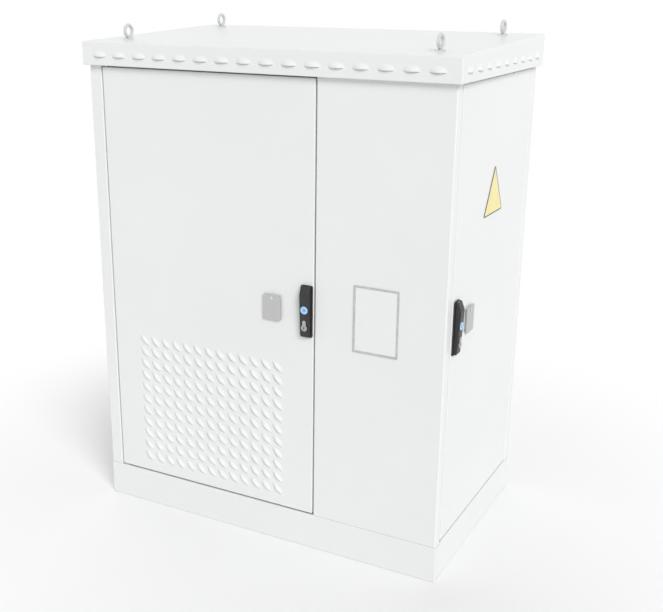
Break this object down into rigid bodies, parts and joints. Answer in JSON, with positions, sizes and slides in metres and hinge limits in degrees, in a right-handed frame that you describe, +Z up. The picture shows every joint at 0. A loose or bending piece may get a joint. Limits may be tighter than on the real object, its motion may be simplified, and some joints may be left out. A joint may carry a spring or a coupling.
{
  "type": "roadside utility cabinet",
  "caption": "Sheet steel roadside cabinet on a plinth with a louvred front door, a side door, swing handles, a ventilated hood and an equipment rack inside.",
  "frame": {"origin": "centre of the floor anchor pattern, on the ground under the plinth", "axes": "+Z up, -Y towards the front with the louvred door, +X towards the side door"},
  "size_m": [1.0664, 0.6424, 1.3809],
  "materials": {
    "body_paint": "satin powder coat",
    "zinc_steel": "zinc plated",
    "stainless": "brushed",
    "handle_plastic": "fine texture",
    "cap_plastic": "gloss",
    "lock_nickel": "satin nickel",
    "foam_seal": "foam",
    "window_rubber": "matt",
    "opal_pane": "opal",
    "filter_fibre": "fibre mat",
    "gland_plastic": "moulded",
    "breaker_plastic": "moulded",
    "copper_bar": "bare"
  },
  "bodies": {
    "cabinet": {"plinth_front": "body_paint", "plinth_rear": "body_paint", "plinth_left": "body_paint", "plinth_right": "body_paint", "left_wall": "body_paint", "rear_wall": "body_paint", "right_rear_post": "body_paint", "fixed_panel": "body_paint", "roof_hood": "body_paint", "plinth_brackets": "zinc_steel", "base_tray": "zinc_steel", "gland_plate": "zinc_steel", "ceiling": "zinc_steel", "partition": "zinc_steel", "rack_front_uprights": "zinc_steel", "rack_rear_uprights": "zinc_steel", "mounting_plate": "zinc_steel", "mounting_rails": "zinc_steel", "lifting_eyes": "zinc_steel", "front_frame": "zinc_steel", "side_frame": "zinc_steel", "front_hinge_pins": "zinc_steel", "side_hinge_pins": "zinc_steel", "window_seal": "window_rubber", "window_pane": "opal_pane", "cable_glands": "gland_plastic", "breakers": "breaker_plastic", "earth_bar": "copper_bar"},
    "front_door": {"front_door_leaf": "body_paint", "front_seal": "foam_seal", "front_hinge_bushes": "zinc_steel", "front_handle_dish": "handle_plastic", "front_lock_mounts": "zinc_steel", "front_keyhole_plate": "stainless", "filter_frame": "zinc_steel", "filter_mat": "filter_fibre"},
    "front_spindle": {"front_handle_spindle": "zinc_steel", "front_lock_cam": "zinc_steel"},
    "front_lever": {"front_handle_lever": "handle_plastic", "front_handle_cap": "cap_plastic", "front_lock_cylinder": "lock_nickel"},
    "front_plug": {"front_cylinder_plug": "lock_nickel"},
    "front_cover": {"front_lock_cover": "stainless"},
    "front_upper_rod": {"front_rod_upper": "zinc_steel"},
    "front_lower_rod": {"front_rod_lower": "zinc_steel"},
    "side_door": {"side_door_leaf": "body_paint", "side_seal": "foam_seal", "side_hinge_bushes": "zinc_steel", "side_handle_dish": "handle_plastic", "side_lock_mounts": "zinc_steel", "side_keyhole_plate": "stainless"},
    "side_spindle": {"side_handle_spindle": "zinc_steel", "side_lock_cam": "zinc_steel"},
    "side_lever": {"side_handle_lever": "handle_plastic", "side_handle_cap": "cap_plastic", "side_lock_cylinder": "lock_nickel"},
    "side_plug": {"side_cylinder_plug": "lock_nickel"},
    "side_cover": {"side_lock_cover": "stainless"},
    "side_upper_rod": {"side_rod_upper": "zinc_steel"},
    "side_lower_rod": {"side_rod_lower": "zinc_steel"}
  },
  "joints": [
    {"name": "front_door_hinge", "type": "hinge", "parent": "cabinet", "child": "front_door", "pos_m": [-0.466, -0.296, 0.6775], "axis": [0, 0, -1], "range_deg": [0, 110]},
    {"name": "front_handle_turn", "type": "hinge", "parent": "front_door", "child": "front_spindle", "pos_m": [0.1415, -0.303, 0.7265], "axis": [0, -1, 0], "range_deg": [0, 90]},
    {"name": "front_lever_lift", "type": "hinge", "parent": "front_spindle", "child": "front_lever", "pos_m": [0.1415, -0.3099, 0.7427], "axis": [-1, 0, 0], "range_deg": [0, 35]},
    {"name": "front_key_turn", "type": "hinge", "parent": "front_lever", "child": "front_plug", "pos_m": [0.1415, -0.315, 0.6365], "axis": [0, -1, 0], "range_deg": [0, 90]},
    {"name": "front_cover_swing", "type": "hinge", "parent": "front_door", "child": "front_cover", "pos_m": [0.042, -0.307, 0.6995], "axis": [0, 1, 0], "range_deg": [0, 90]},
    {"name": "front_upper_rod_slide", "type": "slide", "parent": "front_door", "child": "front_upper_rod", "axis": [0, 0, -1], "range_m": [0, 0.0091]},
    {"name": "front_lower_rod_slide", "type": "slide", "parent": "front_door", "child": "front_lower_rod", "axis": [0, 0, 1], "range_m": [0, 0.0091]},
    {"name": "side_door_hinge", "type": "hinge", "parent": "cabinet", "child": "side_door", "pos_m": [0.508, 0.258, 0.6775], "axis": [0, 0, 1], "range_deg": [0, 110]},
    {"name": "side_handle_turn", "type": "hinge", "parent": "side_door", "child": "side_spindle", "pos_m": [0.515, -0.242, 0.7265], "axis": [-1, 0, 0], "range_deg": [0, 90]},
    {"name": "side_lever_lift", "type": "hinge", "parent": "side_spindle", "child": "side_lever", "pos_m": [0.5219, -0.242, 0.7427], "axis": [0, -1, 0], "range_deg": [0, 35]},
    {"name": "side_key_turn", "type": "hinge", "parent": "side_lever", "child": "side_plug", "pos_m": [0.527, -0.242, 0.6365], "axis": [1, 0, 0], "range_deg": [0, 90]},
    {"name": "side_cover_swing", "type": "hinge", "parent": "side_door", "child": "side_cover", "pos_m": [0.519, -0.148, 0.6995], "axis": [1, 0, 0], "range_deg": [0, 90]},
    {"name": "side_upper_rod_slide", "type": "slide", "parent": "side_door", "child": "side_upper_rod", "axis": [0, 0, -1], "range_m": [0, 0.0091]},
    {"name": "side_lower_rod_slide", "type": "slide", "parent": "side_door", "child": "side_lower_rod", "axis": [0, 0, 1], "range_m": [0, 0.0091]}
  ],
  "couplings": [
    {"joint": "front_upper_rod_slide", "follows": "front_handle_turn", "m_per_rad": 0.00573},
    {"joint": "front_lower_rod_slide", "follows": "front_handle_turn", "m_per_rad": 0.00573},
    {"joint": "side_upper_rod_slide", "follows": "side_handle_turn", "m_per_rad": 0.00573},
    {"joint": "side_lower_rod_slide", "follows": "side_handle_turn", "m_per_rad": 0.00573}
  ]
}
